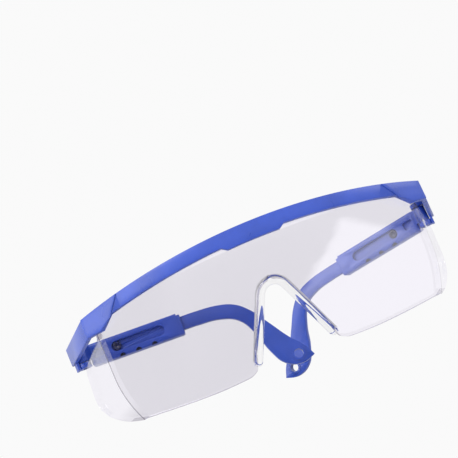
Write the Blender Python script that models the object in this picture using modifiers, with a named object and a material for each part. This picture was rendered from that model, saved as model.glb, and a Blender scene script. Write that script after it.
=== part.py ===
"""Safety goggles: a one-piece clear wrap lens under a blue brow bar, with folding temples.

Each temple is a sleeve hinged on the bar's rear end and an arm that slides in it.
Built in metres as worn: +X is the wearer's left, -Y is forward and +Z is up.
The temples rest partly folded. Run with: blender --background --python part.py
"""
import math

import bmesh
import bpy
from mathutils import Matrix, Vector

MM = 0.001
GAP = 0.3 * MM                      # clearance between touching pieces
OVERLAP = 0.1 * MM                  # how far joined shapes run into each other
CUT_PAST = 1 * MM                   # how far a cutter runs past the face it opens
SHARP_DEG = 32                      # edges sharper than this stay sharp
ROUND_SIDES = 24

# brow bar: a circular arc in plan whose top edge is slightly arched
BAR_RADIUS = 116 * MM
BAR_END_X = 64.3 * MM               # the corner where the bar turns back
ARCH_DROP = 4.7 * MM                # how far the top edge falls at ARCH_REACH
ARCH_REACH = 60 * MM
BAR_HEIGHT = 4.8 * MM
CENTRE_HEIGHT = 6.2 * MM            # the deeper stretch over the nose
CENTRE_HALF = 9.6 * MM
CENTRE_STEP = 2.0 * MM
CAP_START_X = 54.3 * MM             # where the deeper end cap begins
CAP_CORNER_X = 58.9 * MM
CAP_HEIGHT = 7.0 * MM
CAP_SEAM_TOP_X = 49.6 * MM
CAP_PROUD = 0.4 * MM
CAP_INSET = 0.15 * MM
CAP_KNEE = 0.69                     # share of the cap's height where its seam turns
BAR_STATIONS = 44
BAR_TOP_WALL = 1.6 * MM
BAR_FRONT_WALL = 2.2 * MM
BAR_BACK_WALL = 1.3 * MM
BAR_BACK_HEIGHT = 3.0 * MM
BACK_WALL_END = CAP_START_X - 1 * MM

# side part of the bar: an outer wall and a top flange that run back to the hinge
SIDE_END = Vector((75.0 * MM, 59.3 * MM, 0))
SIDE_WALL = 1.9 * MM
FLANGE_WIDTH = 5.0 * MM
FLANGE_THICK = 1.7 * MM
FLANGE_INSET = 0.3 * MM
SIDE_EDGE = 0.35 * MM
EAR_RADIUS = 2.4 * MM
LOWER_EAR_TOP = -13.2 * MM
LOWER_EAR_BOTTOM = -15.2 * MM
EAR_BLOCK_LENGTH = 4.8 * MM
EAR_INSET = 0.9 * MM
EAR_REACH = 4.4 * MM

# lens
LENS_THICK = 2.0 * MM
LENS_SET_BACK = 2.5 * MM            # behind the bar's front face
LENS_SLOPE_START = -6 * MM          # below this height the lens leans back
LENS_SLOPE = 0.27
LENS_TOP_GAP = 1.9 * MM
LENS_CORNER_TOP = -7.5 * MM         # top edge beside the bend, below the side flange
BEND_X = 59.9 * MM                  # sharp bend between the front and each side shield
BEND_TUCK = 4.1 * MM                # how far the bend moves inward at its foot
BEND_TUCK_START = -27 * MM
BEND_FOOT_Z = -44.3 * MM
SHIELD_SPREAD = 0.32
LENS_BELLY = 47.2 * MM              # lowest height of the front's bottom edge
LENS_BELLY_X = 27 * MM
LENS_BELLY_POWER = 1.6
LENS_MIDDLE_RISE = 1.6 * MM
LENS_NOSE_CORNER_X = 19.5 * MM      # the bottom edge turns up into the nose cut-out here
LENS_NOSE_CORNER_LENGTH = 5 * MM
LENS_NOSE_RISE = 1.8 * MM
SHIELD_TOP = ((0, -7.5), (2, -12.4), (3.7, -13.3), (11, -13.9), (20, -15.0), (30.5, -16.0),
              (32, -21.5), (33.4, -26.5))
SHIELD_BOTTOM = ((0, -44.3), (2.7, -43.8), (13.8, -41.2), (20.8, -38.6), (27.8, -35.3),
                 (32.8, -30.0), (33.4, -28.0))

SHIELD_COLUMNS = (33.4, 32.8, 32, 30.5, 27.8, 20.8, 13.8, 8, 3.7, 2)
FRONT_COLUMNS = 40
LENS_ROWS = 6

# nose cut-out and the thick rim round it
NOSE_APEX_Z = -20.0 * MM
NOSE_RADIUS = 5.2 * MM              # of the rim's centre line at the apex
NOSE_LEG_DEG = 24.8
NOSE_FOOT_Z = -43.2 * MM
RIM_HALF_WIDTH = 1.75 * MM
RIM_HALF_DEPTH = 2.3 * MM
RIM_SET_BACK = 0.9 * MM             # behind the middle of the lens's wall
RIM_ARC_STEPS = 8
RIM_SIDES = 12
NOSE_CUT_BELOW = 6 * MM
NOSE_CUT_Y = (-2 * MM, 30 * MM)

# hinge, shared by both temples
HINGE = Vector((70.2 * MM, 57.2 * MM, 0))
PIN_RADIUS = 0.8 * MM
PIN_HEAD_RADIUS = 1.4 * MM
PIN_HEAD_HEIGHT = 0.8 * MM
PIN_TOP = -5.4 * MM
PIN_BOTTOM = -15.0 * MM
BARREL_RADIUS = 2.1 * MM
BARREL_TOP = -7.3 * MM
BARREL_BOTTOM = -12.9 * MM
LEFT_FOLD_DEG = 60
RIGHT_FOLD_DEG = 92

# temple, in its own frame: +Y runs along it from the hinge and -X is its inner side
TEMPLE_DROOP_DEG = 3.4
SLEEVE_START = 3.0 * MM
SLEEVE_END = 39.3 * MM
SLEEVE_INNER_X = -1.2 * MM
SLEEVE_OUTER_X = 4.4 * MM
SLEEVE_TOP = -7.1 * MM
SLEEVE_BOTTOM = -15.4 * MM
SLEEVE_EDGE = 0.7 * MM
CAVITY_START = 9.5 * MM
CAVITY_INNER_X = -0.1 * MM
CAVITY_OUTER_X = 3.0 * MM
CAVITY_TOP = -8.6 * MM
CAVITY_BOTTOM = -14.2 * MM
TAIL_STEP = 1.3 * MM
TAIL_DROP = 0.8 * MM
SLOT_START = 11.6 * MM
SLOT_END = 32.4 * MM
SLOT_HALF = 1.95 * MM
SLOT_Z = -11.2 * MM
NOTCHES = (14.8 * MM, 21.05 * MM, 27.3 * MM)
NOTCH_RADIUS = 1.1 * MM
NOTCH_DEPTH = 0.8 * MM
POCKET = (4.4 * MM, 8.4 * MM, 1.6 * MM)   # start, end and half height of the recess by the hinge
POCKET_DEPTH = 1 * MM
POCKET_EDGE = 0.6 * MM
NECK_X = (-1.1 * MM, 1.5 * MM)

ARM_THICK = 2.5 * MM
ARM_START = 10.2 * MM
ARM_HALF = 2.55 * MM
ARM_STRAIGHT_END = 44.0 * MM
ARM_EDGE = 0.5 * MM
HOOK_TOP = ((53.5, -9.3), (60.0, -11.2), (64.9, -15.2), (69.9, -22.0), (75.0, -29.3), (80.0, -35.0))
HOOK_TIP = (82.0, -38.8)
HOOK_BOTTOM = ((77.0, -40.4), (70.8, -38.3), (67.0, -32.5), (63.9, -23.9), (59.8, -17.4), (53.5, -14.6))
HOLE_AT = (76.5, -36.7)
HOLE_RADIUS = 1.75 * MM
HOLE_RING = 0.75 * MM
RING_PROUD = 0.35 * MM
STUD_Y = 13.6 * MM
STUD_HEAD_RADIUS = 1.65 * MM
STUD_SHANK_RADIUS = 1.0 * MM
STUD_DEPTH = 1.9 * MM
STUD_HEAD_HEIGHT = 0.8 * MM
STUD_DIMPLE = 0.45 * MM
STUD_DIMPLE_RADIUS = 0.8 * MM
EDGE_BREAK = 0.2 * MM

BLUE = (0.045, 0.075, 0.62, 1)
DEEP_BLUE = (0.03, 0.05, 0.36, 1)
CLEAR = (0.93, 0.93, 0.96, 1)
STEEL = (0.55, 0.56, 0.58, 1)


def make_collection(name):
    collection = bpy.data.collections.new(name)
    bpy.context.scene.collection.children.link(collection)
    return collection


def material(name, colour, roughness, metallic=0.0, transmission=0.0):
    made = bpy.data.materials.new(name)
    made.use_nodes = True
    shader = made.node_tree.nodes["Principled BSDF"]
    shader.inputs["Base Color"].default_value = colour
    shader.inputs["Roughness"].default_value = roughness
    shader.inputs["Metallic"].default_value = metallic
    shader.inputs["Transmission Weight"].default_value = transmission
    return made


def object_from(name, bm, collection):
    bmesh.ops.recalc_face_normals(bm, faces=bm.faces)
    mesh = bpy.data.meshes.new(name)
    bm.to_mesh(mesh)
    bm.free()
    made = bpy.data.objects.new(name, mesh)
    collection.objects.link(made)
    if collection == helpers:
        made.hide_render = True
        made.display_type = "WIRE"
    return made


def box(name, low, high, collection):
    """A block between two corners."""
    bm = bmesh.new()
    bmesh.ops.create_cube(bm, size=1)
    low, high = Vector(low), Vector(high)
    size = high - low
    bmesh.ops.scale(bm, vec=size, verts=bm.verts)
    bmesh.ops.translate(bm, vec=(low + high) / 2, verts=bm.verts)
    return object_from(name, bm, collection)


def rod(name, radius, start, end, collection, sides=ROUND_SIDES):
    """A cylinder between two points."""
    start, end = Vector(start), Vector(end)
    along = end - start
    bm = bmesh.new()
    bmesh.ops.create_cone(bm, cap_ends=True, segments=sides, radius1=radius, radius2=radius,
                          depth=along.length)
    turn = along.to_track_quat("Z", "Y").to_matrix().to_4x4()
    bmesh.ops.transform(bm, matrix=Matrix.Translation((start + end) / 2) @ turn, verts=bm.verts)
    return object_from(name, bm, collection)


def loft(name, rings, collection):
    """A closed solid through rings of equal point counts, capped at both ends."""
    bm = bmesh.new()
    rows = [[bm.verts.new(point) for point in ring] for ring in rings]
    for row, following in zip(rows, rows[1:]):
        for index in range(len(row)):
            after = (index + 1) % len(row)
            bm.faces.new((row[index], row[after], following[after], following[index]))
    bm.faces.new(rows[0])
    bm.faces.new(rows[-1])
    return object_from(name, bm, collection)


def sheet(name, columns, thickness, collection):
    """An open surface through columns of points, given its thickness by Solidify."""
    bm = bmesh.new()
    grid = [[bm.verts.new(point) for point in column] for column in columns]
    for column, following in zip(grid, grid[1:]):
        for index in range(len(column) - 1):
            bm.faces.new((column[index], following[index], following[index + 1], column[index + 1]))
    made = object_from(name, bm, collection)
    wall = made.modifiers.new("wall", "SOLIDIFY")
    wall.thickness = thickness
    wall.offset = 0
    wall.use_even_offset = True
    return made


def plate(name, outline, curved, low_x, high_x, collection):
    """A flat outline in the YZ plane as a 2D curve, extruded from low_x to high_x and made a mesh.

    Points at the indices in curved are smooth, the others are corners.
    """
    curve = bpy.data.curves.new(name, "CURVE")
    curve.dimensions = "2D"
    curve.fill_mode = "BOTH"
    curve.extrude = (high_x - low_x) / 2
    curve.resolution_u = 5
    curve.render_resolution_u = 0
    spline = curve.splines.new("BEZIER")
    spline.bezier_points.add(len(outline) - 1)
    for index, (point, knot) in enumerate(zip(outline, spline.bezier_points)):
        knot.co = (point[0], point[1], 0)
        handle = "AUTO" if index in curved else "VECTOR"
        knot.handle_left_type = handle
        knot.handle_right_type = handle
    spline.use_cyclic_u = True
    source = bpy.data.objects.new(name + "_outline", curve)
    helpers.objects.link(source)
    bpy.context.view_layer.update()
    mesh = bpy.data.meshes.new_from_object(source.evaluated_get(bpy.context.evaluated_depsgraph_get()))
    bpy.data.objects.remove(source)
    bm = bmesh.new()
    bm.from_mesh(mesh)
    bpy.data.meshes.remove(mesh)
    bmesh.ops.remove_doubles(bm, verts=bm.verts, dist=0.00001)
    stand = Matrix(((0, 0, 1, (low_x + high_x) / 2), (1, 0, 0, 0), (0, 1, 0, 0), (0, 0, 0, 1)))
    bmesh.ops.transform(bm, matrix=stand, verts=bm.verts)
    return object_from(name, bm, collection)


def combine(target, other, operation):
    step = target.modifiers.new(other.name, "BOOLEAN")
    step.operation = operation
    step.solver = "EXACT"
    step.object = other


def round_edges(target, width, segments=2, angle=35):
    bevel = target.modifiers.new("edges", "BEVEL")
    bevel.width = width
    bevel.segments = segments
    bevel.limit_method = "ANGLE"
    bevel.angle_limit = math.radians(angle)


def evaluated_copy(source, name, collection, matrix=None):
    """The finished shape of an object as a new mesh object, moved by matrix if given."""
    bpy.context.view_layer.update()
    mesh = bpy.data.meshes.new_from_object(source.evaluated_get(bpy.context.evaluated_depsgraph_get()))
    bm = bmesh.new()
    bm.from_mesh(mesh)
    bpy.data.meshes.remove(mesh)
    if matrix:
        bmesh.ops.transform(bm, matrix=matrix, verts=bm.verts)
    return object_from(name, bm, collection)


def bar_top(x):
    return -ARCH_DROP * (x / ARCH_REACH) ** 2


def bar_point(x, depth, z):
    """A point at plan position x on the bar's front arc, moved inward by depth."""
    turn = math.asin(x / BAR_RADIUS)
    reach = BAR_RADIUS - depth
    return Vector((reach * math.sin(turn), BAR_RADIUS - reach * math.cos(turn), z))


def bar_height(x):
    """Height of the bar's front wall at plan position x."""
    x = abs(x)
    if x >= CAP_CORNER_X:
        return CAP_HEIGHT + bar_top(x) - bar_top(BAR_END_X)
    if x > CAP_START_X:
        share = (x - CAP_START_X) / (CAP_CORNER_X - CAP_START_X)
        return BAR_HEIGHT + share * (bar_height(CAP_CORNER_X) - BAR_HEIGHT)
    if x > CENTRE_HALF + CENTRE_STEP:
        return BAR_HEIGHT
    if x > CENTRE_HALF:
        share = (x - CENTRE_HALF) / CENTRE_STEP
        return CENTRE_HEIGHT + share * (BAR_HEIGHT - CENTRE_HEIGHT)
    return CENTRE_HEIGHT


def lens_lean(z):
    """How far back the lens has leaned at height z."""
    return LENS_SLOPE * max(0, LENS_SLOPE_START - z)


def lens_point(x, z, depth=LENS_THICK / 2):
    """A point of the lens's front at x and z, depth behind its front face."""
    radius = BAR_RADIUS - LENS_SET_BACK - depth
    return Vector((x, BAR_RADIUS - math.sqrt(radius ** 2 - x ** 2) + lens_lean(z), z))


def spread(low, high, count):
    return [low + (high - low) * index / count for index in range(count + 1)]


def bar_section(x):
    """The bar's inverted-U section at x: front wall, groove for the lens and short back wall."""
    top = bar_top(x)
    bottom = top - bar_height(x)
    groove_top = top - BAR_TOP_WALL
    back_bottom = top - BAR_BACK_HEIGHT
    if abs(x) > BACK_WALL_END:
        back_bottom = groove_top - OVERLAP / 2
    groove_back = LENS_SET_BACK + lens_lean(top - BAR_BACK_HEIGHT) + LENS_THICK + GAP
    back = groove_back + BAR_BACK_WALL
    corners = ((0, top), (0, bottom), (BAR_FRONT_WALL, bottom), (BAR_FRONT_WALL, groove_top),
               (groove_back, groove_top), (groove_back, back_bottom), (back, back_bottom), (back, top))
    return [bar_point(x, depth, z) for depth, z in corners]


def side_line(along, inward, z):
    """A point on the left side part: along it from the corner, and inward from its outer face."""
    corner = bar_point(BAR_END_X, 0, 0)
    heading = (SIDE_END - corner).normalized()
    inner = Vector((-heading.y, heading.x, 0))
    point = corner + heading * along + inner * inward
    return Vector((point.x, point.y, z))


def side_length():
    return (SIDE_END - bar_point(BAR_END_X, 0, 0)).length


def side_block(name, start, end, outer, inner, bottom, top):
    """A straight block of the left side part."""
    rings = []
    for along in (start, end):
        rings.append([side_line(along, outer, top), side_line(along, outer, bottom),
                      side_line(along, inner, bottom), side_line(along, inner, top)])
    return loft(name, rings, helpers)


def left_side_part():
    """Outer wall, top flange and the two ears that hold the hinge pin."""
    top = bar_top(BAR_END_X)
    length = side_length()
    wall = side_block("side_wall", 0, length, 0, SIDE_WALL, top - CAP_HEIGHT, top)
    flange = side_block("side_flange", 5 * OVERLAP, length - 4 * OVERLAP, FLANGE_INSET, FLANGE_WIDTH,
                        top - FLANGE_THICK, top)
    upper_ear = rod("upper_ear", EAR_RADIUS + 5 * OVERLAP, HINGE + Vector((0, 0, top - FLANGE_THICK)),
                    HINGE + Vector((0, 0, top - OVERLAP)), helpers)
    rear_block = side_block("rear_block", length - EAR_BLOCK_LENGTH, length - 5 * OVERLAP, EAR_INSET,
                            SIDE_WALL - OVERLAP, LOWER_EAR_BOTTOM, top - CAP_HEIGHT + CUT_PAST)
    lower_ear = rod("lower_ear", EAR_RADIUS, HINGE + Vector((0, 0, LOWER_EAR_BOTTOM)),
                    HINGE + Vector((0, 0, LOWER_EAR_TOP)), helpers)
    ear_bridge = side_block("ear_bridge", length - EAR_BLOCK_LENGTH + 4 * OVERLAP, length - 7 * OVERLAP,
                            EAR_INSET + OVERLAP, EAR_REACH,
                            LOWER_EAR_BOTTOM + OVERLAP, LOWER_EAR_TOP - OVERLAP)
    combine(lower_ear, ear_bridge, "UNION")
    round_edges(wall, SIDE_EDGE)
    for extra in (flange, upper_ear, rear_block, lower_ear):
        combine(wall, extra, "UNION")
    return wall


def end_cap_face():
    """The slightly proud mitred face of the left end cap."""
    columns = []
    for share in spread(0, 1, 8):
        column = []
        for level in spread(0, 1, 3):
            edge = CAP_SEAM_TOP_X + (CAP_START_X - CAP_SEAM_TOP_X) * min(1, level / CAP_KNEE)
            edge += (CAP_CORNER_X - CAP_START_X) * max(0, level - CAP_KNEE) / (1 - CAP_KNEE)
            x = edge + (BAR_END_X - CAP_INSET - edge) * share
            top = bar_top(x) - CAP_INSET
            bottom = bar_top(BAR_END_X) - CAP_HEIGHT + OVERLAP
            column.append(bar_point(x, 0, top + (bottom - top) * level))
        columns.append(column)
    return sheet("cap_face", columns, 2 * CAP_PROUD, helpers)


def mirrored(source, name, collection):
    """A copy of a finished shape on the other side of the YZ plane."""
    return evaluated_copy(source, name, collection, Matrix.Diagonal((-1, 1, 1, 1)))


def brow_bar():
    """Channelled bar, its end caps and side parts, with the hinge pins' bores."""
    stations = set(spread(-BAR_END_X, BAR_END_X, BAR_STATIONS))
    for sign in (-1, 1):
        for x in (CENTRE_HALF, CENTRE_HALF + CENTRE_STEP, BACK_WALL_END - OVERLAP,
                  CAP_START_X, CAP_CORNER_X):
            stations.add(sign * x)
    bar = loft("bar_shape", [bar_section(x) for x in sorted(stations)], helpers)
    side = left_side_part()
    cap = end_cap_face()
    for piece in (side, cap):
        other = mirrored(piece, "right_" + piece.name, helpers)
        combine(bar, piece, "UNION")
        combine(bar, other, "UNION")
    for sign in (-1, 1):
        axis = Vector((sign * HINGE.x, HINGE.y, 0))
        up = Vector((0, 0, 1))
        top = bar_top(BAR_END_X)
        bore = rod("pin_bore", PIN_RADIUS + GAP, axis + up * (LOWER_EAR_BOTTOM - CUT_PAST),
                   axis + up * (top + CUT_PAST), helpers)
        seat = rod("head_seat", PIN_HEAD_RADIUS + GAP, axis + up * (PIN_TOP - PIN_HEAD_HEIGHT - OVERLAP),
                   axis + up * (top + CUT_PAST), helpers)
        combine(bar, bore, "DIFFERENCE")
        combine(bar, seat, "DIFFERENCE")
    return bar


def bend_x(z):
    below = max(0, BEND_TUCK_START - z)
    return BEND_X - BEND_TUCK * (below / (BEND_TUCK_START - BEND_FOOT_Z)) ** 2


def reading(table, along):
    """Height in metres from a table of millimetre points, by straight interpolation."""
    for (low, low_z), (high, high_z) in zip(table, table[1:]):
        if along <= high:
            return (low_z + (high_z - low_z) * (along - low) / (high - low)) * MM
    return table[-1][1] * MM


def lens_bottom(x):
    """The front's bottom edge bellies down and rises to the bend and to the nose."""
    x = abs(x)
    reach = bend_x(BEND_FOOT_Z)
    if x > LENS_BELLY_X:
        rise = (x - LENS_BELLY_X) / (reach - LENS_BELLY_X)
        return -LENS_BELLY + (BEND_FOOT_Z + LENS_BELLY) * rise ** LENS_BELLY_POWER
    corner = max(0, (LENS_NOSE_CORNER_X - x) / LENS_NOSE_CORNER_LENGTH)
    middle = (LENS_BELLY_X - x) / LENS_BELLY_X
    return -LENS_BELLY + LENS_MIDDLE_RISE * middle ** 2 + LENS_NOSE_RISE * corner ** 2


def heights(top, bottom, rows):
    """Heights down one column, with one where the lens starts to lean."""
    shoulder = min(top - 5 * OVERLAP, LENS_SLOPE_START)
    return [top] + spread(shoulder, bottom, rows)


def front_column(share, rows):
    """One column of the front; share runs from -1 at one bend to +1 at the other."""
    top = bar_top(share * BEND_X) - LENS_TOP_GAP
    if abs(share * BEND_X) > CAP_START_X:
        top = LENS_CORNER_TOP
    bottom = lens_bottom(share * bend_x(BEND_FOOT_Z))
    return [lens_point(share * bend_x(z), z) for z in heights(top, bottom, rows)]


def shield_column(along, rows):
    """One column of the left side shield, along millimetres behind the bend."""
    behind = Vector((SHIELD_SPREAD * along * MM, along * MM, 0))
    levels = heights(reading(SHIELD_TOP, along), reading(SHIELD_BOTTOM, along), rows)
    return [lens_point(bend_x(z), z) + behind for z in levels]


def nose_path(steps):
    """Centre line of the rim as plan x and height, from one foot over the apex to the other."""
    lean = math.radians(NOSE_LEG_DEG)
    centre_z = NOSE_APEX_Z - NOSE_RADIUS
    tangent = (NOSE_RADIUS * math.cos(lean), centre_z + NOSE_RADIUS * math.sin(lean))
    foot_x = tangent[0] + (tangent[1] - NOSE_FOOT_Z) * math.tan(lean)
    half = [(foot_x, NOSE_FOOT_Z), ((foot_x + tangent[0]) / 2, (NOSE_FOOT_Z + tangent[1]) / 2)]
    for angle in spread(lean, math.pi / 2, steps):
        half.append((NOSE_RADIUS * math.cos(angle), centre_z + NOSE_RADIUS * math.sin(angle)))
    return half + [(-x, z) for x, z in reversed(half[:-1])]


def nose_rim():
    """The thick rounded rim that rests on the nose."""
    path = nose_path(RIM_ARC_STEPS)
    points = [lens_point(x, z, LENS_THICK / 2 + RIM_SET_BACK) for x, z in path]
    rings = []
    for index, point in enumerate(points):
        ahead = points[min(index + 1, len(points) - 1)]
        behind = points[max(index - 1, 0)]
        along = (ahead - behind).normalized()
        outward = Vector((0, 1, 0)).cross(along).normalized()
        depth = along.cross(outward).normalized()
        ring = []
        for turn in spread(0, 2 * math.pi, RIM_SIDES)[:-1]:
            across = outward * RIM_HALF_WIDTH * math.cos(turn)
            ring.append(point + across + depth * RIM_HALF_DEPTH * math.sin(turn))
        rings.append(ring)
    rim = loft("nose_rim", rings, helpers)
    for end, inner in ((points[0], points[1]), (points[-1], points[-2])):
        bm = bmesh.new()
        bmesh.ops.create_uvsphere(bm, u_segments=RIM_SIDES, v_segments=8, radius=RIM_HALF_WIDTH)
        bmesh.ops.translate(bm, vec=end + (inner - end).normalized() * 2 * OVERLAP, verts=bm.verts)
        combine(rim, object_from("rim_foot", bm, helpers), "UNION")
    return rim


def lens():
    """One sheet bent at two sharp lines, cut out for the nose and thickened round the cut."""
    near = [shield_column(place, LENS_ROWS) for place in SHIELD_COLUMNS]
    front = [front_column(share, LENS_ROWS) for share in spread(1, -1, FRONT_COLUMNS)]
    far = [[Vector((-point.x, point.y, point.z)) for point in column] for column in reversed(near)]
    made = sheet("lens_shape", near + front + far, LENS_THICK, helpers)
    path = nose_path(RIM_ARC_STEPS - 2)
    low_x = path[0][0] + NOSE_CUT_BELOW * math.tan(math.radians(NOSE_LEG_DEG))
    low_z = NOSE_FOOT_Z - NOSE_CUT_BELOW
    outline = [(low_x, low_z)] + path + [(-low_x, low_z)]
    rings = [[Vector((x, y, z)) for x, z in outline] for y in NOSE_CUT_Y]
    combine(made, loft("nose_cut", rings, helpers), "DIFFERENCE")
    combine(made, nose_rim(), "UNION")
    return made


def droop():
    """Turns a temple shape down by its droop, about the hinge at the slot's height."""
    pivot = Matrix.Translation((0, 0, SLOT_Z))
    return pivot @ Matrix.Rotation(-math.radians(TEMPLE_DROOP_DEG), 4, "X") @ pivot.inverted()


def left_sleeve():
    """Hollow sleeve with an obround slot on its inner side, open at the rear."""
    body = box("sleeve_body", (SLEEVE_INNER_X, SLEEVE_START, SLEEVE_BOTTOM),
               (SLEEVE_OUTER_X, SLEEVE_END, SLEEVE_TOP), helpers)
    round_edges(body, SLEEVE_EDGE)
    cavity = box("sleeve_cavity", (CAVITY_INNER_X, CAVITY_START, CAVITY_BOTTOM),
                 (CAVITY_OUTER_X, SLEEVE_END + CUT_PAST, CAVITY_TOP), helpers)
    combine(body, cavity, "DIFFERENCE")
    outer_x, inner_x = SLEEVE_INNER_X - CUT_PAST, CAVITY_INNER_X + CUT_PAST / 2
    slot = box("slot", (outer_x, SLOT_START + SLOT_HALF, SLOT_Z - SLOT_HALF),
               (inner_x, SLOT_END - SLOT_HALF, SLOT_Z + SLOT_HALF), helpers)
    for place in (SLOT_START + SLOT_HALF, SLOT_END - SLOT_HALF):
        end = rod("slot_end", SLOT_HALF, (outer_x, place, SLOT_Z), (inner_x, place, SLOT_Z), helpers)
        combine(slot, end, "UNION")
    combine(body, slot, "DIFFERENCE")
    for place in NOTCHES:
        notch = rod("notch", NOTCH_RADIUS, (outer_x, place, SLEEVE_BOTTOM),
                    (SLEEVE_INNER_X + NOTCH_DEPTH, place, SLEEVE_BOTTOM), helpers, 16)
        combine(body, notch, "DIFFERENCE")
    step = box("tail_step", (outer_x, SLEEVE_END - TAIL_STEP, SLEEVE_TOP - TAIL_DROP),
               (SLEEVE_OUTER_X + CUT_PAST, SLEEVE_END + CUT_PAST, SLEEVE_TOP + CUT_PAST), helpers)
    combine(body, step, "DIFFERENCE")
    start, end, half = POCKET
    pocket = box("hinge_pocket", (outer_x, start, SLOT_Z - half),
                 (SLEEVE_INNER_X + POCKET_DEPTH, end, SLOT_Z + half), helpers)
    round_edges(pocket, POCKET_EDGE)
    combine(body, pocket, "DIFFERENCE")
    drooped = evaluated_copy(body, "sleeve_drooped", helpers, droop())
    neck = box("neck", (NECK_X[0], 0, BARREL_BOTTOM),
               (NECK_X[1], SLEEVE_START + CUT_PAST, BARREL_TOP - 2 * OVERLAP), helpers)
    barrel = rod("barrel", BARREL_RADIUS, (0, 0, BARREL_BOTTOM), (0, 0, BARREL_TOP), helpers)
    combine(barrel, neck, "UNION")
    combine(barrel, drooped, "UNION")
    bore = rod("barrel_bore", PIN_RADIUS + GAP, (0, 0, BARREL_BOTTOM - CUT_PAST),
               (0, 0, BARREL_TOP + CUT_PAST), helpers)
    combine(barrel, bore, "DIFFERENCE")
    return barrel


def left_arm():
    """Flat arm: a straight tongue in the sleeve, then a hook that ends in a broad pointed paddle."""
    low_x = CAVITY_INNER_X + GAP
    outline = [(ARM_START, SLOT_Z + ARM_HALF), (ARM_STRAIGHT_END, SLOT_Z + ARM_HALF)]
    outline += [(y * MM, z * MM) for y, z in HOOK_TOP]
    outline += [(HOOK_TIP[0] * MM, HOOK_TIP[1] * MM)]
    outline += [(y * MM, z * MM) for y, z in HOOK_BOTTOM]
    outline += [(ARM_STRAIGHT_END, SLOT_Z - ARM_HALF), (ARM_START, SLOT_Z - ARM_HALF)]
    curved = set(range(2, len(outline) - 2)) - {2 + len(HOOK_TOP)}
    arm = plate("arm", outline, curved, low_x, low_x + ARM_THICK, helpers)
    round_edges(arm, ARM_EDGE, 2, 40)
    place = Vector((0, HOLE_AT[0] * MM, HOLE_AT[1] * MM))
    side = Vector((1, 0, 0))
    ring = rod("hole_ring", HOLE_RADIUS + HOLE_RING, place + side * (low_x - RING_PROUD),
               place + side * (low_x + CUT_PAST), helpers)
    combine(arm, ring, "UNION")
    hole = rod("lanyard_hole", HOLE_RADIUS, place + side * (low_x - CUT_PAST),
               place + side * (low_x + ARM_THICK + CUT_PAST), helpers)
    combine(arm, hole, "DIFFERENCE")
    seat = rod("stud_seat", STUD_SHANK_RADIUS + GAP, (low_x - CUT_PAST, STUD_Y, SLOT_Z),
               (low_x + STUD_DEPTH, STUD_Y, SLOT_Z), helpers)
    combine(arm, seat, "DIFFERENCE")
    return arm


def turned(name, profile, start, heading, collection):
    """A turned piece: (radius, distance) pairs spun about an axis that leaves start along heading."""
    curve_points = [Vector((radius, 0, -distance)) for radius, distance in profile]
    bm = bmesh.new()
    knots = [bm.verts.new(point) for point in curve_points]
    for first, second in zip(knots, knots[1:]):
        bm.edges.new((first, second))
    mesh = bpy.data.meshes.new(name)
    bm.to_mesh(mesh)
    bm.free()
    source = bpy.data.objects.new(name + "_profile", mesh)
    helpers.objects.link(source)
    source.hide_render = True
    source.display_type = "WIRE"
    spin = source.modifiers.new("turn", "SCREW")
    spin.steps = ROUND_SIDES
    spin.render_steps = ROUND_SIDES
    spin.use_merge_vertices = True
    spin.merge_threshold = 0.00001
    turn = (-Vector(heading)).to_track_quat("Z", "Y").to_matrix().to_4x4()
    return evaluated_copy(source, name, collection, Matrix.Translation(Vector(start)) @ turn)


def left_stud():
    """Round stud with a dimpled head, set in the arm's tongue and running in the slot."""
    low = SLEEVE_INNER_X + GAP
    length = CAVITY_INNER_X + STUD_DEPTH - low
    profile = ((0, STUD_DIMPLE), (STUD_DIMPLE_RADIUS, STUD_DIMPLE / 2), (STUD_SHANK_RADIUS, 0),
               (STUD_HEAD_RADIUS - EDGE_BREAK, 0), (STUD_HEAD_RADIUS, EDGE_BREAK),
               (STUD_HEAD_RADIUS, STUD_HEAD_HEIGHT), (STUD_SHANK_RADIUS, STUD_HEAD_HEIGHT),
               (STUD_SHANK_RADIUS, length), (0, length))
    return turned("stud", profile, (low, STUD_Y, SLOT_Z), (1, 0, 0), helpers)


def left_pin():
    """Hinge pin with a low round head."""
    length = PIN_TOP - PIN_BOTTOM
    profile = ((0, 0), (PIN_HEAD_RADIUS - EDGE_BREAK, 0), (PIN_HEAD_RADIUS, EDGE_BREAK),
               (PIN_HEAD_RADIUS, PIN_HEAD_HEIGHT), (PIN_RADIUS, PIN_HEAD_HEIGHT),
               (PIN_RADIUS, length - EDGE_BREAK), (PIN_RADIUS - EDGE_BREAK, length), (0, length))
    return turned("pin", profile, (0, 0, PIN_TOP), (0, 0, -1), helpers)


def hinge_empty(side, sign, fold_deg):
    """An empty on the hinge axis, turned by the temple's fold at rest."""
    empty = bpy.data.objects.new(side + "_hinge_axis", None)
    parts.objects.link(empty)
    empty.parent = ground
    empty.location = (sign * HINGE.x, HINGE.y, 0)
    empty.rotation_euler = (0, 0, sign * math.radians(fold_deg))
    return empty


def place_temple(side, sign, fold_deg, shapes):
    """Both temples share their shapes, mirrored for the wearer's right."""
    axis = hinge_empty(side, sign, fold_deg)
    flip = Matrix.Diagonal((sign, 1, 1, 1))
    for part_name, (source, drooped, shader) in shapes.items():
        matrix = flip @ droop() if drooped else flip
        made = evaluated_copy(source, side + "_" + part_name, parts, matrix)
        made.parent = axis
        finish(made, shader)


def place_pin(side, sign, source, shader):
    made = evaluated_copy(source, side + "_hinge_pin", parts)
    made.parent = ground
    made.location = (sign * HINGE.x, HINGE.y, 0)
    finish(made, shader)


def finish(made, shader):
    """One material and smooth shading with sharp edges kept."""
    made.data.materials.append(shader)
    made.data.shade_smooth()
    made.data.set_sharp_from_angle(angle=math.radians(SHARP_DEG))


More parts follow.
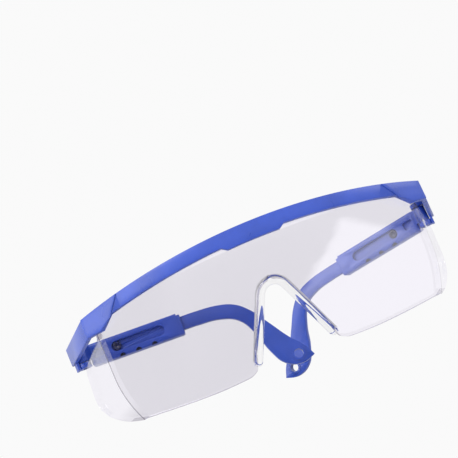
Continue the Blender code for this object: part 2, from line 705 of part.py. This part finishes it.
def stand_on_origin():
    """Moves the parent empty so that the middle of the footprint is the origin."""
    bpy.context.view_layer.update()
    graph = bpy.context.evaluated_depsgraph_get()
    corners = []
    for piece in parts.objects:
        if piece.type == "MESH":
            shape = piece.evaluated_get(graph)
            corners += [piece.matrix_world @ vertex.co for vertex in shape.data.vertices]
    for index in (0, 1):
        values = [corner[index] for corner in corners]
        ground.location[index] = -(min(values) + max(values)) / 2
    ground.location.z = -min(corner.z for corner in corners)
    bpy.context.view_layer.update()


for old in list(bpy.data.objects):
    bpy.data.objects.remove(old)

parts = make_collection("safety_goggles")
helpers = make_collection("helpers")
ground = bpy.data.objects.new("goggles_origin", None)
parts.objects.link(ground)

blue = material("blue_plastic", BLUE, 0.32)
deep_blue = material("deep_blue_plastic", DEEP_BLUE, 0.4)
clear = material("clear_polycarbonate", CLEAR, 0.05, transmission=1.0)
steel = material("hinge_steel", STEEL, 0.3, metallic=1.0)

for part_name, source, shader in (("brow_bar", brow_bar(), blue), ("lens", lens(), clear)):
    fixed = evaluated_copy(source, part_name, parts)
    fixed.parent = ground
    finish(fixed, shader)

temple_shapes = {
    "temple_sleeve": (left_sleeve(), False, deep_blue),
    "temple_arm": (left_arm(), True, blue),
    "length_stud": (left_stud(), True, deep_blue),
}
pin = left_pin()
for side, sign, fold_deg in (("left", 1, LEFT_FOLD_DEG), ("right", -1, RIGHT_FOLD_DEG)):
    place_temple(side, sign, fold_deg, temple_shapes)
    place_pin(side, sign, pin, steel)

stand_on_origin()
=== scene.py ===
import math

import bpy
from mathutils import Matrix, Vector


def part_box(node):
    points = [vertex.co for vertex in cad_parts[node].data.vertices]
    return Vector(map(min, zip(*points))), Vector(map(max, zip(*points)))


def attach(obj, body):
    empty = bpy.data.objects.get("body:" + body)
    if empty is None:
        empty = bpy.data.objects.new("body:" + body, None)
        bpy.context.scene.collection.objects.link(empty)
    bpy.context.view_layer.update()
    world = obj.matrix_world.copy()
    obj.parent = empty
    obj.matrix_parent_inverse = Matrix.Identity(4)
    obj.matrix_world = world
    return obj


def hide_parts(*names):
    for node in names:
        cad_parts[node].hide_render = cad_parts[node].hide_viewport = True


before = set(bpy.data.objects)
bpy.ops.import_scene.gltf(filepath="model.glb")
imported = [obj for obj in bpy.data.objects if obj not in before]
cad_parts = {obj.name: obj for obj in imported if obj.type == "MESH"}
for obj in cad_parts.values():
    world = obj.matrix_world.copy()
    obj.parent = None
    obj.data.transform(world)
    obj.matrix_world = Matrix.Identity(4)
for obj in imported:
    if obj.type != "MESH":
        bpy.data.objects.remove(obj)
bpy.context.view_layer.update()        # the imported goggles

mm = 0.001
barLow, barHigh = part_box("brow_bar")
frontY = barLow.y        # the bar's front face at the middle
topZ = barHigh.z         # the bar's top edge at the middle


def deselectAll():
    bpy.ops.object.select_all(action="DESELECT")


def pick(piece):
    deselectAll()
    piece.select_set(True)
    bpy.context.view_layer.objects.active = piece


def addModifier(piece, kind, **settings):
    modifier = piece.modifiers.new(kind.lower(), kind)
    for key, value in settings.items():
        setattr(modifier, key, value)
    pick(piece)
    bpy.ops.object.modifier_apply(modifier=modifier.name)


def smoothByAngle(piece, degrees):
    pick(piece)
    bpy.ops.object.shade_smooth_by_angle(angle=math.radians(degrees))


def settle(piece, name):
    pick(piece)
    bpy.ops.object.convert(target="MESH")
    bpy.ops.object.transform_apply(location=True, rotation=True, scale=True)
    piece.name = name
    piece.data.name = name
    return piece


def finishPiece(piece, material, body, slotName, *nodes):
    if material:
        piece.data.materials.clear()
        piece.data.materials.append(material)
    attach(piece, body)
    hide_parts(*nodes)
    return piece


def nodeCopy(node, name, flatten):
    piece = bpy.data.objects.new(name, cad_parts[node].data.copy())
    bpy.context.scene.collection.objects.link(piece)
    pick(piece)
    bpy.ops.object.mode_set(mode="EDIT")
    bpy.ops.mesh.select_all(action="SELECT")
    bpy.ops.mesh.remove_doubles(threshold=0.00001)
    if flatten:
        bpy.ops.mesh.dissolve_limited(angle_limit=math.radians(0.3))
    bpy.ops.object.mode_set(mode="OBJECT")
    return piece


def newMaterial(name):
    material = bpy.data.materials.new(name)
    material.use_nodes = True
    nodes = material.node_tree.nodes
    return material, nodes, material.node_tree.links, nodes["Principled BSDF"]


def addNode(nodes, kind, **values):
    node = nodes.new(kind)
    for key, value in values.items():
        if key in node.inputs:
            node.inputs[key].default_value = value
        else:
            setattr(node, key, value)
    return node


plasticLook = {
    "cloudScale": 90.0, "cloudEdges": (0.3, 0.75), "cloudShades": (0.86, 1.1), "roughSpread": (-0.06, 0.08),
    "grainScale": 2600.0, "grainStrength": 0.12, "grainDepth": 0.0001, "gloss": 0.55,
}


def mouldedPlastic(name, colour, roughness):
    look = plasticLook
    material, nodes, links, shader = newMaterial(name)
    place = addNode(nodes, "ShaderNodeTexCoord")
    cloud = addNode(nodes, "ShaderNodeTexNoise", Scale=look["cloudScale"], Detail=3.0)
    links.new(place.outputs["Object"], cloud.inputs["Vector"])
    tint = addNode(nodes, "ShaderNodeValToRGB")
    for stop, edge, shade in zip(tint.color_ramp.elements, look["cloudEdges"], look["cloudShades"]):
        stop.position = edge
        stop.color = [min(1, c * shade) for c in colour] + [1]
    links.new(cloud.outputs["Fac"], tint.inputs["Fac"])
    links.new(tint.outputs["Color"], shader.inputs["Base Color"])
    rough = addNode(nodes, "ShaderNodeMapRange")
    rough.inputs["To Min"].default_value = roughness + look["roughSpread"][0]
    rough.inputs["To Max"].default_value = roughness + look["roughSpread"][1]
    links.new(cloud.outputs["Fac"], rough.inputs["Value"])
    links.new(rough.outputs["Result"], shader.inputs["Roughness"])
    grain = addNode(nodes, "ShaderNodeTexNoise", Scale=look["grainScale"], Detail=2.0)
    links.new(place.outputs["Object"], grain.inputs["Vector"])
    bump = addNode(nodes, "ShaderNodeBump", Strength=look["grainStrength"], Distance=look["grainDepth"])
    links.new(grain.outputs["Fac"], bump.inputs["Height"])
    links.new(bump.outputs["Normal"], shader.inputs["Normal"])
    shader.inputs["Specular IOR Level"].default_value = look["gloss"]
    return material


sheetLook = {
    "glossRough": 0.02, "facing": (0.45, 1.15), "edgeGloss": 0.55,
    "hazeScale": 60.0, "hazeStrength": 0.04, "hazeDepth": 0.0005,
}


def clearSheet(name, tint, edge):
    look = sheetLook
    material, nodes, links, shader = newMaterial(name)
    seeThrough = addNode(nodes, "ShaderNodeBsdfTransparent")
    seeThrough.inputs["Color"].default_value = tint
    gloss = addNode(nodes, "ShaderNodeBsdfGlossy", Roughness=look["glossRough"])
    gloss.inputs["Color"].default_value = (1, 1, 1, 1)
    facing = addNode(nodes, "ShaderNodeLayerWeight", Blend=0.5)
    share = addNode(nodes, "ShaderNodeMapRange")
    share.interpolation_type = "SMOOTHSTEP"
    share.inputs["From Min"].default_value = look["facing"][0]
    share.inputs["From Max"].default_value = look["facing"][1]
    share.inputs["To Min"].default_value = edge
    share.inputs["To Max"].default_value = look["edgeGloss"]
    links.new(facing.outputs["Facing"], share.inputs["Value"])
    place = addNode(nodes, "ShaderNodeTexCoord")
    haze = addNode(nodes, "ShaderNodeTexNoise", Scale=look["hazeScale"], Detail=4.0)
    links.new(place.outputs["Object"], haze.inputs["Vector"])
    bump = addNode(nodes, "ShaderNodeBump", Strength=look["hazeStrength"], Distance=look["hazeDepth"])
    links.new(haze.outputs["Fac"], bump.inputs["Height"])
    links.new(bump.outputs["Normal"], gloss.inputs["Normal"])
    mix = addNode(nodes, "ShaderNodeMixShader")
    links.new(share.outputs["Result"], mix.inputs["Fac"])
    links.new(seeThrough.outputs["BSDF"], mix.inputs[1])
    links.new(gloss.outputs["BSDF"], mix.inputs[2])
    links.new(mix.outputs["Shader"], nodes["Material Output"].inputs["Surface"])
    nodes.remove(shader)
    return material


def clearSolid(name, tint, roughness):
    material, nodes, links, shader = newMaterial(name)
    shader.inputs["Base Color"].default_value = tint
    shader.inputs["Transmission Weight"].default_value = 1.0
    shader.inputs["IOR"].default_value = 1.5
    shader.inputs["Roughness"].default_value = roughness
    place = addNode(nodes, "ShaderNodeTexCoord")
    flow = addNode(nodes, "ShaderNodeTexNoise", Scale=220.0, Detail=2.0)
    links.new(place.outputs["Object"], flow.inputs["Vector"])
    bump = addNode(nodes, "ShaderNodeBump", Strength=0.12, Distance=0.0004)
    links.new(flow.outputs["Fac"], bump.inputs["Height"])
    links.new(bump.outputs["Normal"], shader.inputs["Normal"])
    return material


def drawnSteel(name):
    material, nodes, links, shader = newMaterial(name)
    shader.inputs["Metallic"].default_value = 1.0
    place = addNode(nodes, "ShaderNodeTexCoord")
    streak = addNode(nodes, "ShaderNodeTexNoise", Scale=1500.0)
    links.new(place.outputs["Object"], streak.inputs["Vector"])
    tint = addNode(nodes, "ShaderNodeValToRGB")
    tint.color_ramp.elements[0].color = (0.38, 0.39, 0.41, 1)
    tint.color_ramp.elements[1].color = (0.62, 0.63, 0.65, 1)
    links.new(streak.outputs["Fac"], tint.inputs["Fac"])
    links.new(tint.outputs["Color"], shader.inputs["Base Color"])
    shader.inputs["Roughness"].default_value = 0.35
    return material


barBlue = mouldedPlastic("barBlue", (0.027, 0.068, 0.40), 0.28)
templeBlue = mouldedPlastic("templeBlue", (0.022, 0.062, 0.37), 0.3)
studBlue = mouldedPlastic("studBlue", (0.008, 0.012, 0.06), 0.22)
# painted shade: a near-black blue for the notch walls, where the recesses fall in shadow
paintedShadeBlue = mouldedPlastic("paintedShadeBlue", (0.006, 0.012, 0.05), 0.6)
lensClear = clearSheet("lensClear", (0.955, 0.943, 0.98, 1), 0.095)
lensEdge = clearSheet("lensEdge", (0.52, 0.50, 0.56, 1), 0.1)
# painted shade: a darker tint for the two bend lines, standing in for refraction at the creases
paintedBendShade = clearSheet("paintedBendShade", (0.34, 0.32, 0.38, 1), 0.02)
rimClear = clearSolid("rimClear", (0.97, 0.965, 0.975, 1), 0.03)
pinSteel = drawnSteel("pinSteel")
print("materials ready")


lensShape = {
    "barRadius": 116 * mm, "setBack": 2.5 * mm, "thick": 2.0 * mm,
    "slope": 0.27, "slopeStart": -6 * mm, "topGap": 1.9 * mm, "archDrop": 4.7 * mm, "archReach": 60 * mm,
    "bendX": 59.9 * mm, "bendTuck": 4.1 * mm, "tuckStart": -27 * mm, "bendFoot": -44.3 * mm,
    "capStart": 54.3 * mm, "cornerTop": -7.5 * mm, "shieldSpread": 0.32, "shieldLength": 33.4,
    "belly": 47.2 * mm, "bellyX": 27 * mm, "bellyPower": 1.6, "middleRise": 1.6 * mm,
    "noseCornerX": 19.5 * mm, "noseCornerLength": 5 * mm, "noseRise": 1.8 * mm,
    "shieldTop": ((0, -7.5), (2, -12.4), (3.7, -13.3), (11, -13.9), (20, -15.0), (29.0, -16.0),
                  (31.2, -18.4), (33.4, -26.5)),
    "shieldBottom": ((0, -44.3), (2.7, -43.8), (13.8, -41.2), (20.8, -38.6), (27.8, -35.3),
                     (32.2, -31.2), (33.4, -28.0)),
    "noseApex": -20.0 * mm, "noseRadius": 5.2 * mm, "noseLeg": math.radians(24.8), "noseFoot": -43.2 * mm,
    "rimHalfWidth": 1.75 * mm, "rimHalfDepth": 2.3 * mm, "rimSetBack": 0.9 * mm,
    "frontColumns": 240, "shieldColumns": 60, "rows": 36, "softLean": 2 * mm, "edgeRound": 0.3 * mm,
    "footSteps": 6, "legSteps": 24, "footPast": 1.6 * mm, "thinnest": 0.05,
    "smoothDeg": 25, "rimSmoothDeg": 60, "bevelDeg": 60, "paleBeyond": 1 * mm, "bevelRings": 8,
}


def archTop(x):
    return -lensShape["archDrop"] * (x / lensShape["archReach"]) ** 2


def lensLean(z):
    below = lensShape["slopeStart"] - z
    soft = lensShape["softLean"]                     # eases the lean in below the bar
    if below <= -soft:
        return 0
    if below < soft:
        return lensShape["slope"] * (below + soft) ** 2 / (4 * soft)
    return lensShape["slope"] * below


def bendX(z):
    below = max(0, lensShape["tuckStart"] - z)
    share = below / (lensShape["tuckStart"] - lensShape["bendFoot"])
    return lensShape["bendX"] - lensShape["bendTuck"] * share ** 2


def lensPoint(x, z, depth):
    radius = lensShape["barRadius"] - lensShape["setBack"] - depth
    y = lensShape["barRadius"] - math.sqrt(radius ** 2 - x ** 2) + lensLean(z)
    return Vector((x, y + frontY, z + topZ))


def along(table, place):
    for index in range(len(table) - 1):
        low, high = table[index], table[index + 1]
        if place <= high[0]:
            share = (place - low[0]) / (high[0] - low[0])
            return (low[1] + (high[1] - low[1]) * share) * mm
    return table[-1][1] * mm


def noseEdge(x):
    x = abs(x)
    lean = lensShape["noseLeg"]
    radius = lensShape["noseRadius"]
    centre = lensShape["noseApex"] - radius
    if x < radius * math.cos(lean):
        return centre + math.sqrt(radius ** 2 - x ** 2)
    return centre + radius * math.sin(lean) - (x - radius * math.cos(lean)) / math.tan(lean)


def lensBottom(x):
    s = lensShape
    x = abs(x)
    if x > s["bellyX"]:
        rise = (x - s["bellyX"]) / (bendX(s["bendFoot"]) - s["bellyX"])
        return -s["belly"] + (s["bendFoot"] + s["belly"]) * rise ** s["bellyPower"]
    corner = max(0, (s["noseCornerX"] - x) / s["noseCornerLength"])
    middle = (s["bellyX"] - x) / s["bellyX"]
    low = -s["belly"] + s["middleRise"] * middle ** 2 + s["noseRise"] * corner ** 2
    return max(low, noseEdge(x))


def bendColumn(faceIndex, columns, side, middle):
    column = faceIndex % columns
    return column in (side - 1, side + middle)


def makeLens():
    s = lensShape
    side, middle = s["shieldColumns"], s["frontColumns"]
    columns = middle + 2 * side
    bpy.ops.mesh.primitive_grid_add(x_subdivisions=columns, y_subdivisions=s["rows"], size=1)
    lens = bpy.context.object
    for vertex in lens.data.vertices:
        column = round((vertex.co.x + 0.5) * columns) - side - middle // 2
        level = vertex.co.y + 0.5
        sign = -1 if column < 0 else 1
        share = min(1, abs(column) / (middle / 2))
        behind = max(0, abs(column) - middle / 2) / side * s["shieldLength"]
        if behind:
            high, low = along(s["shieldTop"], behind), along(s["shieldBottom"], behind)
        else:
            low = lensBottom(share * bendX(s["bendFoot"]))
            high = archTop(share * s["bendX"]) - s["topGap"]
            if share * s["bendX"] > s["capStart"]:
                high = s["cornerTop"]
        z = low + (high - low) * level
        point = lensPoint(share * bendX(z), z, s["thick"] / 2)
        vertex.co = (sign * (point.x + s["shieldSpread"] * behind * mm), point.y + behind * mm, point.z)
    lens.data.materials.append(lensClear)
    lens.data.materials.append(lensEdge)
    lens.data.materials.append(paintedBendShade)
    for face in lens.data.polygons:                  # painted shade: the two sharp bends get a darker tint, standing in for the dark lines that refraction draws at the creases
        face.material_index = 2 if bendColumn(face.index, columns, side, middle) else 0
    addModifier(lens, "SOLIDIFY", thickness=s["thick"], offset=0, use_even_offset=True, use_rim=True,
                material_offset_rim=1)
    for face in lens.data.polygons:                  # the shields' own edges stay pale
        if abs(face.center.x) > s["bendX"] + s["paleBeyond"]:
            face.material_index = 0
    pick(lens)
    bpy.ops.object.mode_set(mode="EDIT")
    bpy.ops.mesh.select_all(action="SELECT")
    bpy.ops.mesh.normals_make_consistent(inside=False)
    bpy.ops.object.mode_set(mode="OBJECT")
    for face in lens.data.polygons:                  # and only on the outer face
        outward = Vector((math.copysign(0.7, face.center.x), -0.7, 0))
        if face.material_index == 2 and face.normal.dot(outward) < 0:
            face.material_index = 0
    addModifier(lens, "BEVEL", width=s["edgeRound"], segments=2, limit_method="ANGLE",
                angle_limit=math.radians(s["bevelDeg"]))
    settle(lens, "clearLens")
    smoothByAngle(lens, s["smoothDeg"])
    return lens


def makeNoseRim():
    s = lensShape
    lean = s["noseLeg"]
    centre = s["noseApex"] - s["noseRadius"]
    tangentX, tangentZ = s["noseRadius"] * math.cos(lean), centre + s["noseRadius"] * math.sin(lean)
    legLength = (tangentZ - s["noseFoot"]) / math.cos(lean) + s["footPast"]
    endRound = s["rimHalfWidth"]
    straight = legLength - endRound
    points = []                                      # x, z and thickness, from a foot to the apex
    profile = []
    for step in range(s["footSteps"] + 1):           # the rounded foot
        turn = math.pi / 2 * step / s["footSteps"]
        profile.append((legLength - endRound * (1 - math.cos(turn)), math.sin(turn)))
    for step in range(1, s["legSteps"] + 1):
        profile.append((straight * (1 - step / s["legSteps"]), 1))
    for distance, thickness in profile:
        points.append((tangentX + distance * math.sin(lean), tangentZ - distance * math.cos(lean),
                       max(s["thinnest"], thickness)))
    for step in range(1, s["legSteps"] + 1):
        turn = lean + (math.pi / 2 - lean) * step / s["legSteps"]
        points.append((s["noseRadius"] * math.cos(turn), centre + s["noseRadius"] * math.sin(turn), 1))
    points += [(-x, z, thickness) for x, z, thickness in reversed(points[:-1])]
    bpy.ops.curve.primitive_nurbs_path_add()
    rim = bpy.context.object
    rim.data.splines.clear()
    spline = rim.data.splines.new("POLY")
    spline.points.add(len(points) - 1)
    for (x, z, thickness), knot in zip(points, spline.points):
        knot.co = (*lensPoint(x, z, s["thick"] / 2 + s["rimSetBack"]), 1)
        knot.radius = thickness
    rim.data.dimensions = "3D"
    rim.data.bevel_depth = s["rimHalfWidth"]
    rim.data.bevel_resolution = s["bevelRings"]
    rim.data.use_fill_caps = True
    settle(rim, "noseRim")
    for vertex in rim.data.vertices:                 # deeper than it is wide
        middle = lensPoint(vertex.co.x, vertex.co.z - topZ, s["thick"] / 2 + s["rimSetBack"]).y
        vertex.co.y = middle + (vertex.co.y - middle) * s["rimHalfDepth"] / s["rimHalfWidth"]
    smoothByAngle(rim, s["rimSmoothDeg"])
    return rim


finishPiece(makeLens(), None, "front", "clear_lens", "lens")
finishPiece(makeNoseRim(), rimClear, "front", "clear_lens", "lens")
print("lens and nose rim ready")


edgeRound = {"brow_bar": 0.35, "temple_sleeve": 0.22, "length_stud": 0.12, "hinge_pin": 0.1}
keptFaces = ("brow_bar", "temple_sleeve")            # their flat faces shade best left as they are


def roundedCopy(node, name, key):
    piece = nodeCopy(node, name, key not in keptFaces)
    if key in edgeRound:
        addModifier(piece, "BEVEL", width=edgeRound[key] * mm, segments=2, limit_method="ANGLE",
                    angle_limit=math.radians(40), use_clamp_overlap=True)
    settle(piece, name)
    smoothByAngle(piece, 32)
    return piece


notchShape = {
    "hinge": (70.2 * mm, 7.404 * mm, -11.2 * mm), "fold": {"left": 60, "right": 92}, "droop": 3.4,
    "places": (14.8 * mm, 21.05 * mm, 27.3 * mm), "centreDown": 4.2 * mm, "reach": 1.25 * mm,
    "innerFace": 1.2 * mm, "depth": (0.05 * mm, 0.95 * mm), "undersideDot": -0.9,
}


# paints shade onto the walls of the three notches on the sleeve's lower edge
def paintNotchShade(sleeve, side):
    s = notchShape
    sign = 1 if side == "left" else -1
    fold, droop = math.radians(s["fold"][side]), math.radians(s["droop"])
    hinge = Vector((sign * s["hinge"][0], s["hinge"][1], topZ + s["hinge"][2]))
    ahead = Vector((-sign * math.sin(fold) * math.cos(droop), math.cos(fold) * math.cos(droop),
                    -math.sin(droop)))
    inner = Vector((-sign * math.cos(fold), -math.sin(fold), 0))
    up = sign * ahead.cross(inner)
    sleeve.data.materials.append(paintedShadeBlue)
    for face in sleeve.data.polygons:                # painted shade: a near-black blue on the notches' walls, standing in for the shadow in the recesses
        place = Vector(face.center) - hinge
        behind = s["innerFace"] - place.dot(inner)
        if not s["depth"][0] < behind < s["depth"][1] or face.normal.dot(up) < s["undersideDot"]:
            continue
        for notch in s["places"]:
            if math.hypot(place.dot(ahead) - notch, place.dot(up) + s["centreDown"]) < s["reach"]:
                face.material_index = 1


finishPiece(roundedCopy("brow_bar", "browBar", "brow_bar"), barBlue, "front", "bar_plastic", "brow_bar")
for side in ("left", "right"):
    for part, body, look, slotName in (
            ("temple_sleeve", "sleeve", templeBlue, "temple_plastic"),
            ("temple_arm", "arm", templeBlue, "temple_plastic"),
            ("length_stud", "arm", studBlue, "stud_plastic"),
            ("hinge_pin", "front", pinSteel, "pin_steel")):
        node = f"{side}_{part}"
        name = side + "".join(word.capitalize() for word in part.split("_"))
        rideOn = body if body == "front" else f"{side}_{body}"
        piece = finishPiece(roundedCopy(node, name, part), look, rideOn, slotName, node)
        if part == "temple_sleeve":
            paintNotchShade(piece, side)
            shaded = sum(face.material_index for face in piece.data.polygons)
            print(name, "faces shaded in the notches", shaded)
print("bar and temples ready")


def makeFloor():
    bpy.ops.mesh.primitive_plane_add(size=3, location=(0, 0, -0.0002))
    floor = bpy.context.object
    floor.name = "paleFloor"
    material, nodes, links, shader = newMaterial("paleFloor")
    shader.inputs["Base Color"].default_value = (0.9, 0.9, 0.9, 1)
    shader.inputs["Roughness"].default_value = 0.9
    seeThrough = addNode(nodes, "ShaderNodeBsdfTransparent")
    face = addNode(nodes, "ShaderNodeNewGeometry")
    mix = addNode(nodes, "ShaderNodeMixShader")
    links.new(face.outputs["Backfacing"], mix.inputs["Fac"])
    links.new(shader.outputs["BSDF"], mix.inputs[1])
    links.new(seeThrough.outputs["BSDF"], mix.inputs[2])
    links.new(mix.outputs["Shader"], nodes["Material Output"].inputs["Surface"])
    floor.data.materials.append(material)
    floor.visible_glossy = False                     # the lens mirrors the studio, not the table
    floor.visible_transmission = False


worldLook = {
    "pale": 0.955,                                   # above the horizon and behind the goggles
    "frontHorizon": (-0.06, -0.02), "backHorizon": (-0.10, -0.04), "frontToBack": (-0.15, 0.1),
    "dimRise": (-0.37, -0.27),
    "dimLow": 0.0, "dimHigh": 0.2,                   # in front, below the horizon: the lens mirrors it
    "leftSide": (-0.62, -0.46), "leftShare": 0.12,   # the far left of that is dimmer still
    "tent": 1.15, "tentSide": (0.12, 0.24),          # the bright patch that the lens mirrors
    "tentTop": (0.0988, -0.2477, 0.9639), "tentLeft": (-0.0457, -0.3741, 0.9263),
    "tentSoft": 0.004, "under": 0.5,
    "panel": 3.4, "panelSide": (-0.45, -0.62), "panelTop": (0.42, 0.55),
}


def mapRange(nodes, links, source, fromMin, fromMax, toMin, toMax):
    node = addNode(nodes, "ShaderNodeMapRange")
    for socket, value in zip(("From Min", "From Max", "To Min", "To Max"), (fromMin, fromMax, toMin, toMax)):
        node.inputs[socket].default_value = value
    links.new(source, node.inputs["Value"])
    return node.outputs["Result"]


def sumOrProduct(nodes, links, kind, first, second):
    node = addNode(nodes, "ShaderNodeMath")
    node.operation = kind
    for socket, value in zip(node.inputs, (first, second)):
        if isinstance(value, (int, float)):
            socket.default_value = value
        else:
            links.new(value, socket)
    return node.outputs[0]


def blendTo(nodes, links, low, high, share):
    rest = sumOrProduct(nodes, links, "SUBTRACT", 1.0, share)
    return sumOrProduct(nodes, links, "ADD", sumOrProduct(nodes, links, "MULTIPLY", low, rest),
                 sumOrProduct(nodes, links, "MULTIPLY", high, share))


def makeWorld():
    look = worldLook
    world = bpy.data.worlds.new("studio")
    world.use_nodes = True
    bpy.context.scene.world = world
    nodes, links = world.node_tree.nodes, world.node_tree.links
    back = nodes["Background"]
    place = addNode(nodes, "ShaderNodeTexCoord")
    split = addNode(nodes, "ShaderNodeSeparateXYZ")
    links.new(place.outputs["Generated"], split.inputs["Vector"])
    x, y, z = split.outputs
    dim = mapRange(nodes, links, z, *look["dimRise"], look["dimLow"], look["dimHigh"])
    leftDim = mapRange(nodes, links, x, *look["leftSide"], look["leftShare"], 1)
    dim = sumOrProduct(nodes, links, "MULTIPLY", dim, leftDim)
    tent = mapRange(nodes, links, x, *look["tentSide"], 0, 1)
    for key in ("tentTop", "tentLeft"):
        dot = addNode(nodes, "ShaderNodeVectorMath")
        dot.operation = "DOT_PRODUCT"
        dot.inputs[1].default_value = look[key]
        links.new(place.outputs["Generated"], dot.inputs[0])
        inside = mapRange(nodes, links, dot.outputs["Value"], look["tentSoft"], -look["tentSoft"], 0, 1)
        tent = sumOrProduct(nodes, links, "MULTIPLY", tent, inside)
    low = blendTo(nodes, links, dim, look["tent"], tent)
    panel = sumOrProduct(nodes, links, "MULTIPLY", mapRange(nodes, links, x, *look["panelSide"], 0, 1),
                  mapRange(nodes, links, z, *look["panelTop"], 1, 0))
    high = blendTo(nodes, links, look["pale"], look["panel"], panel)
    front = blendTo(nodes, links, low, high, mapRange(nodes, links, z, *look["frontHorizon"], 0, 1))
    backRise = mapRange(nodes, links, z, *look["backHorizon"], 0, 1)
    behind = blendTo(nodes, links, look["under"], look["pale"], backRise)
    every = blendTo(nodes, links, front, behind, mapRange(nodes, links, y, *look["frontToBack"], 0, 1))
    links.new(every, back.inputs["Strength"])
    back.inputs["Color"].default_value = (1, 1, 1, 1)


def makeLight(name, place, aim, size, power):
    bpy.ops.object.light_add(type="AREA", location=place)
    light = bpy.context.object
    light.name = name
    light.data.shape = "RECTANGLE"
    light.data.size, light.data.size_y = size
    light.data.energy = power
    light.rotation_euler = (Vector(aim) - Vector(place)).to_track_quat("-Z", "Y").to_euler()


lights = {
    "keyLight": {"place": (-0.5, -0.6, 0.75), "aim": (0, -0.02, 0.02), "size": (0.5, 0.35), "power": 4.2},
    "fillLight": {"place": (0.75, -0.25, 0.5), "aim": (0, 0, 0.02), "size": (0.5, 0.5), "power": 1.6},
}
cameraLook = {
    "place": (-0.0487, -0.4442, -0.0456),
    "across": (0.9199, -0.0061, -0.3921), "down": (-0.3782, 0.2505, -0.8912),
    "lens": 95.6, "sensor": 36, "nearest": 0.01,
}


def makeCamera():
    camera = bpy.data.objects.new("camera", bpy.data.cameras.new("camera"))
    bpy.context.scene.collection.objects.link(camera)
    across, down = Vector(cameraLook["across"]), Vector(cameraLook["down"])
    ahead = across.cross(down).normalized()
    turn = Matrix((across, -down, -ahead)).transposed()
    camera.matrix_world = Matrix.Translation(cameraLook["place"]) @ turn.to_4x4()
    camera.data.lens = cameraLook["lens"]
    camera.data.sensor_width = cameraLook["sensor"]
    camera.data.clip_start = cameraLook["nearest"]
    bpy.context.scene.camera = camera


makeFloor()
makeWorld()
for name, light in lights.items():
    makeLight(name, **light)
makeCamera()
bpy.context.scene.view_settings.view_transform = "Standard"
bpy.context.scene.view_settings.look = "None"
print("stage ready")
